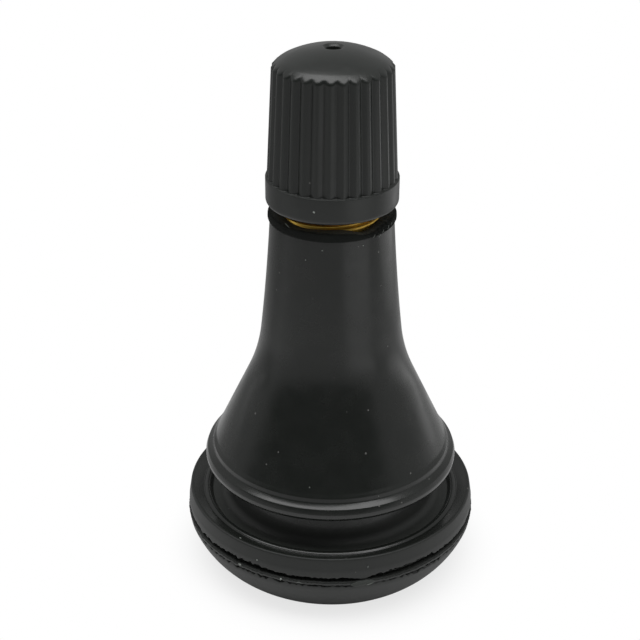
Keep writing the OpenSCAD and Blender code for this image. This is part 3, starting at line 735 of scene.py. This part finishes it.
DOME_RISE, DOME_EDGE, SHOULDER_R = 1.03, 3.95, 3.8
DOME_R = (DOME_EDGE**2 + DOME_RISE**2) / (2 * DOME_RISE)
dome_half = np.degrees(np.arcsin(SHOULDER_R / DOME_R))
dome_and_side = soft_line(
    [
        [[0.02, DIMPLE_FLOOR], [0.42, DIMPLE_FLOOR], [0.5, APEX - 0.7], [0.54, APEX - 0.2], [0.72, APEX - 0.07]],
        arc((0, APEX - DOME_R), DOME_R, 84.5, 90 - dome_half, 24),
        bow((SHOULDER_R, 41.392), (4.55, 40.757), -0.03),
        [[TOP_R + 0.1, SIDE_TOP], [FOOT_R + 0.06, BAND_TOP + 0.08]],
    ],
    soft=0.03,
    step=0.5,
    bend=8,
)
cap_band = soft_line(
    [
        [[FOOT_R + 0.06, BAND_TOP + 0.01], [4.95, BAND_TOP], [4.97, BAND_TOP - 0.03]],
        arc((4.65, CAP_FOOT + 0.32), 0.32, 0, -90),
        [[CAP_BORE + 0.3, CAP_FOOT], [CAP_BORE, CAP_FOOT + 0.3]],
    ],
    soft=0.02,
    step=0.5,
    bend=10,
)
rib_feet = [[FOOT_R + 0.06, BAND_TOP + 0.05], [FOOT_R + 0.06, BAND_TOP + 0.02]]
cap_outside = np.concatenate([dome_and_side, rib_feet, cap_band])
pocket_and_roof = [[CAP_BORE, 38.39], [3.6, 38.94], [3.6, 39.84], [2.85, 39.84], [2.85, ROOF], [0.02, ROOF]]
cap_rows = np.concatenate([
    cap_outside,
    column(CAP_BORE, CAP_FOOT + 0.36, RIM - RIM_CHAMFER, 0.066),
    soft_line([pocket_and_roof], 0.03, 0.6, 20)[1:],
])
angle = FIRST_VALLEY + around(RIBS * 14)
row_r, row_z = cap_rows[:, :1], cap_rows[:, 1:]
row_number = np.arange(len(cap_rows))[:, None]
crest = FOOT_R + (TOP_R - FOOT_R) * (row_z - BAND_TOP) / (SIDE_TOP - BAND_TOP)
on_ribs = (row_number < len(dome_and_side) + len(rib_feet)) * (row_r > 1)
ribbed = lesser(row_r, rib_radius(angle, crest), 0.02)
in_thread = (row_number >= len(cap_outside)) * smooth(row_z, 31.2, 31.8) * smooth(row_z, 38.2, 37.6)
cap_thread = OUTER_DEPTH * in_thread * groove_of_thread(row_z, angle, OUTER_PITCH)
cap_r = row_r + on_ribs * (ribbed - row_r) - cap_thread
dust_cap = piece_from_grid(
    "ribbed_cap",
    turned(cap_r, row_z, angle),
    poles=[[0, 0, DIMPLE_FLOOR], [0, 0, ROOF]],
    marks={"dull": bump_at(row_z, BAND_TOP, 0.08) * (row_number < len(cap_outside))},
)
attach(dust_cap, "cap")
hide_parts("valve_cap")

# %% [markdown]
# ## The core's plug
#
# The plug screws into the stem. Its head has two flats for the core key, and a flat is a straight line: at an angle
# from the front it stands at half the width over the cosine. Taking the smaller of that and the round head gives both
# at once. Below are the thread, the neck and the collar that the barrel swivels on.

# %% Threaded plug
PLUG_TOP, HEAD_FOOT, PLUG_FOOT, HALF_FLATS = 38.34, 36.54, 32.84, 1.2
swivel = [[1.6, PLUG_FOOT], [1.6, 32.04], [1.88, 32.04], [1.88, 31.34], [1.29, 31.34], [1.29, 35.54], [0.85, 35.54]]
plug_rows = np.concatenate([
    soft_line([[[0.85, PLUG_TOP], [2.3, PLUG_TOP], [2.3, HEAD_FOOT]]], 0.03, 0.25, 15),
    [[2.3, HEAD_FOOT], [2.45, HEAD_FOOT]],
    column(2.6, HEAD_FOOT - 0.12, PLUG_FOOT + 0.1, 0.05),
    [[2.5, PLUG_FOOT], *swivel],
])
angle = around(192)
row_r, row_z = plug_rows[:, :1], plug_rows[:, 1:]
flat_r = HALF_FLATS / np.maximum(np.abs(np.cos(angle)), 0.3)
head = (row_z > HEAD_FOOT - 0.01) * (row_r < 2.35) * (row_r > 0.9)
threaded = (row_r > 2.55) * smooth(row_z, PLUG_FOOT, PLUG_FOOT + 0.3) * smooth(row_z, HEAD_FOOT, HEAD_FOOT - 0.3)
plug_r = np.where(head, lesser(row_r, flat_r, 0.04), row_r)
plug_r = plug_r - CORE_DEPTH * threaded * groove_of_thread(row_z, angle, CORE_PITCH)
core_plug = piece_from_grid("threaded_plug", turned(plug_r, row_z, angle), ring=True)
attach(core_plug, "core_screw")
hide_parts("core_plug")

# %% [markdown]
# ## The spring
#
# The spring is a round wire along a helix. Its end turns lie flat, so the climb is slow at both ends and even between
# them: the height follows the turns through a smooth step. It stands on the barrel's floor and holds up the pin's
# collar. When the pin is pressed the real spring flattens towards that floor; here it is built at rest only.

# %% Coil spring
SPRING_FOOT, SPRING_TOP, COIL_R, WIRE_R, TURNS = 26.94, 34.44, 0.95, 0.14, 9
along = np.linspace(0, TURNS, TURNS * 28)[:, None]
climb = np.clip((along - 0.9 - 0.08 * np.sin(2 * np.pi * along / TURNS)) / (TURNS - 1.8), 0, 1)
coil_z = SPRING_FOOT + WIRE_R + climb * (SPRING_TOP - SPRING_FOOT - 2 * WIRE_R)
wire_angle = around(14)
wire_r = COIL_R + WIRE_R * np.cos(wire_angle)
spring_grid = turned(wire_r, coil_z + WIRE_R * np.sin(wire_angle), 2 * np.pi * along)
ends = [spring_grid[0].mean(0), spring_grid[-1].mean(0)]
spring = piece_from_grid("coil_spring", spring_grid, poles=ends)
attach(spring, "core")
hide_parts("core_spring")
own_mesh(spring)

# %% [markdown]
# ## Effects that several finishes share
#
# Moulded rubber and plastic both have a fine grain and a slightly blotchy tone, and both collect specks of dust. The
# metal pieces all show the fine rings that the lathe left and a patchy tarnish. Each effect is a node group that reads
# the piece's own coordinates in millimetres and puts out masks and heights only, so every material can use it at its
# own scale.

# %% Node group helper


def effect_group(name, inputs, outputs):
    """Empty shader node group with named value inputs and outputs, and the object's coordinates in millimetres."""
    group = bpy.data.node_groups.new(name, "ShaderNodeTree")
    for label, value in inputs.items():
        group.interface.new_socket(label, in_out="INPUT", socket_type="NodeSocketFloat").default_value = value
    for label in outputs:
        group.interface.new_socket(label, in_out="OUTPUT", socket_type="NodeSocketFloat")
    given = put(group, "NodeGroupInput").outputs
    where = put(group, "ShaderNodeTexCoord").outputs["Object"]
    where = put(group, "ShaderNodeVectorMath", {0: where, 1: (1000, 1000, 1000)}, operation="MULTIPLY").outputs[0]
    return group, given, where


print("group helper:", effect_group.__name__)

# %% Moulded grain
grain_inputs = {"Grains per mm": 9.0, "Blotches per mm": 0.6}
grain_group, given, where = effect_group("moulded_grain", grain_inputs, ["Height", "Tone"])
grain = put(grain_group, "ShaderNodeTexNoise", {"Vector": where, "Scale": given["Grains per mm"], "Detail": 3.0})
blotch = put(grain_group, "ShaderNodeTexNoise", {"Vector": where, "Scale": given["Blotches per mm"], "Detail": 4.0})
put(grain_group, "NodeGroupOutput", {
    "Height": grain.outputs[0],
    "Tone": ramp_of(grain_group, blotch.outputs[0], 0.3, 0.7),
})
print("moulded grain nodes:", len(grain_group.nodes))

# %% Specks of dust
dust_group, given, where = effect_group("dust_specks", {"Specks per mm": 0.9, "Share": 0.12, "Size": 0.06}, ["Mask"])
cells = put(dust_group, "ShaderNodeTexVoronoi", {"Vector": where, "Scale": given["Specks per mm"], "Randomness": 1.0})
lot = put(dust_group, "ShaderNodeSeparateColor", {0: cells.outputs["Color"]}).outputs
chosen = math_of(dust_group, "LESS_THAN", lot["Red"], given["Share"])
width = math_of(dust_group, "MULTIPLY", math_of(dust_group, "ADD", lot["Green"], 0.3), given["Size"])
inside = math_of(dust_group, "LESS_THAN", cells.outputs["Distance"], width)
put(dust_group, "NodeGroupOutput", {"Mask": math_of(dust_group, "MULTIPLY", chosen, inside)})
print("dust nodes:", len(dust_group.nodes))

# %% Lathe rings and tarnish
lathe_inputs = {"Rings per mm": 14.0, "Patches per mm": 0.9}
lathe_group, given, where = effect_group("lathe_rings", lathe_inputs, ["Height", "Tarnish"])
stretch = put(lathe_group, "ShaderNodeVectorMath", {0: where, 1: (0.12, 0.12, 1)}, operation="MULTIPLY").outputs[0]
rings = put(lathe_group, "ShaderNodeTexNoise", {"Vector": stretch, "Scale": given["Rings per mm"], "Detail": 2.0})
patches = put(lathe_group, "ShaderNodeTexNoise", {"Vector": where, "Scale": given["Patches per mm"], "Detail": 5.0})
put(lathe_group, "NodeGroupOutput", {
    "Height": rings.outputs[0],
    "Tarnish": ramp_of(lathe_group, patches.outputs[0], 0.42, 0.68),
})
print("lathe nodes:", len(lathe_group.nodes))

# %% [markdown]
# ## Rubber and plastic
#
# The rubber is a black with a trace of green and a satin skin. Torn edges are rougher, because a break has no skin, and
# fresh chips and crumbs are pale as well; the same pale mark also paints light on the shaded groove and the collar's
# top. The mesh carries marks that say where they are. The cap's plastic is a little greyer and duller. A bump of a few
# thousandths of a millimetre is enough for the grain: on black, the eye sees only what it does to the highlights.

# %% Dark moulded finishes
CHIP_AND_PAINTED_LIGHT_GREY, DUST_GREY = (0.31, 0.335, 0.31, 1), (0.12, 0.12, 0.115, 1)


def new_finish(name, **constants):
    """Material with one Principled shader. constants are plain numbers for its sockets."""
    material = bpy.data.materials.new(name)
    material.use_nodes = True
    tree = material.node_tree
    tree.nodes.clear()
    shader = put(tree, "ShaderNodeBsdfPrincipled", {k.replace("_", " "): v for k, v in constants.items()})
    put(tree, "ShaderNodeOutputMaterial", {"Surface": shader.outputs[0]})
    return material, tree, shader.inputs


def group_of(tree, group, sockets):
    """Outputs of a placed node group."""
    node = put(tree, "ShaderNodeGroup", node_tree=group)
    for name, value in sockets.items():
        node.inputs[name].default_value = value
    return node.outputs


def moulded_finish(name, dark, pale, rough, grains, depth, dust_share, shine=0.5):
    """Dark moulded material: tone between dark and pale, grain as bump and specks of dust. Three marks of the mesh
    make it dull where the mould was rough, rough where it is torn, and pale where it is freshly broken or where light
    is painted on a shaded recess."""
    material, tree, shader = new_finish(name, Specular_IOR_Level=shine)
    grain = group_of(tree, grain_group, {"Grains per mm": grains, "Blotches per mm": 0.5})
    dust = group_of(tree, dust_group, {"Specks per mm": 1.2, "Share": dust_share, "Size": 0.075})["Mask"]
    names = ("torn", "pale", "dull")
    marks = {mark: put(tree, "ShaderNodeAttribute", attribute_name=mark).outputs["Fac"] for mark in names}
    colour = mix_colour(tree, grain["Tone"], (*dark, 1), (*pale, 1))
    # The pale mark gives chips, crumbs and torn fibres their grey, and paints light on the shaded groove and collar
    # top.
    colour = mix_colour(tree, marks["pale"], colour, CHIP_AND_PAINTED_LIGHT_GREY)
    colour = mix_colour(tree, dust, colour, DUST_GREY)
    roughness = ramp_of(tree, grain["Tone"], 0, 1, rough - 0.04, rough + 0.04)
    for mask, level in ((marks["dull"], 0.55), (marks["torn"], 0.9), (dust, 0.8)):
        roughness = math_of(tree, "MAXIMUM", roughness, math_of(tree, "MULTIPLY", mask, level))
    tree.links.new(colour, shader["Base Color"])
    tree.links.new(roughness, shader["Roughness"])
    bump = put(tree, "ShaderNodeBump", {"Height": grain["Height"], "Strength": 1.0, "Distance": depth * MM})
    tree.links.new(bump.outputs[0], shader["Normal"])
    return material


# Each row: dark tone, pale tone, roughness, grains per mm, depth of the grain in mm and share of dust.
black_rubber = moulded_finish(
    "black_rubber", (0.0092, 0.011, 0.0094), (0.0112, 0.013, 0.0114), 0.24, 6.0, 0.002, 0.4
)
cut_rubber = moulded_finish(
    "cut_rubber", (0.008, 0.009, 0.008), (0.011, 0.0125, 0.011), 0.8, 6.0, 0.006, 0.1, shine=0.12
)
black_plastic = moulded_finish(
    "black_plastic", (0.0105, 0.0128, 0.011), (0.0135, 0.016, 0.014), 0.33, 14.0, 0.0015, 0.2
)
soft_black = moulded_finish("soft_black_seal", (0.012, 0.012, 0.012), (0.02, 0.02, 0.02), 0.6, 10.0, 0.003, 0.0)
gasket_red = moulded_finish("red_gasket", (0.25, 0.035, 0.03), (0.34, 0.06, 0.05), 0.5, 10.0, 0.003, 0.0)
for finish, pieces in (
    (black_rubber, (rubber_body, loose_crumbs, flash)),
    (cut_rubber, (collar,)),
    (black_plastic, (dust_cap, cap_crumb)),
):
    for piece in pieces:
        piece.data.materials.append(finish)
print("moulded finishes:", [m.name for m in (black_rubber, cut_rubber, black_plastic, soft_black, gasket_red)])

# %% [markdown]
# ## Brass and steel
#
# Turned brass is bright where the tool cut it last and brown where fingers and damp have been. The tarnish mask mixes
# both the colour and the roughness, because tarnish is dull as well as dark.

# %% Metal finishes


def metal_finish(name, bright, tarnished, rough, rings, depth):
    """Metal with lathe rings as bump. Where the tarnish mask is high the colour and the roughness both change."""
    material, tree, shader = new_finish(name, Metallic=1.0)
    lathe = group_of(tree, lathe_group, {"Rings per mm": rings, "Patches per mm": 0.8})
    tree.links.new(mix_colour(tree, lathe["Tarnish"], (*bright, 1), (*tarnished, 1)), shader["Base Color"])
    tree.links.new(ramp_of(tree, lathe["Tarnish"], 0, 1, rough, rough + 0.18), shader["Roughness"])
    bump = put(tree, "ShaderNodeBump", {"Height": lathe["Height"], "Strength": 1.0, "Distance": depth * MM})
    tree.links.new(bump.outputs[0], shader["Normal"])
    return material


stem_brass = metal_finish("stem_brass", (0.93, 0.61, 0.13), (0.8, 0.47, 0.08), 0.32, 12.0, 0.002)
core_brass = metal_finish("core_brass", (0.74, 0.54, 0.22), (0.5, 0.34, 0.13), 0.26, 16.0, 0.003)
pin_steel = metal_finish("pin_steel", (0.6, 0.6, 0.6), (0.4, 0.38, 0.35), 0.28, 10.0, 0.002)
spring_steel = metal_finish("spring_steel", (0.55, 0.56, 0.58), (0.33, 0.32, 0.3), 0.3, 6.0, 0.002)
brass_stem.data.materials.append(stem_brass)
core_plug.data.materials.append(core_brass)
spring.data.materials.append(spring_steel)
print("metal finishes:", [m.name for m in (stem_brass, core_brass, pin_steel, spring_steel)])

# %% [markdown]
# ## Pieces that keep their CAD shape
#
# The washer, the barrel, its gasket, the pin and the plunger's cup and seal are plain turned solids inside the valve.
# Their CAD shape is right, so each keeps its node and only takes a finish.

# %% Finishes for the plain pieces
plain_pieces = {
    "cap_seal": soft_black,
    "core_barrel": core_brass,
    "barrel_gasket": gasket_red,
    "core_pin": pin_steel,
    "plunger_cup": core_brass,
    "plunger_seal": soft_black,
}
for name, finish in plain_pieces.items():
    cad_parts[name].material_slots[0].material = finish
print("finished CAD pieces:", sorted(plain_pieces))
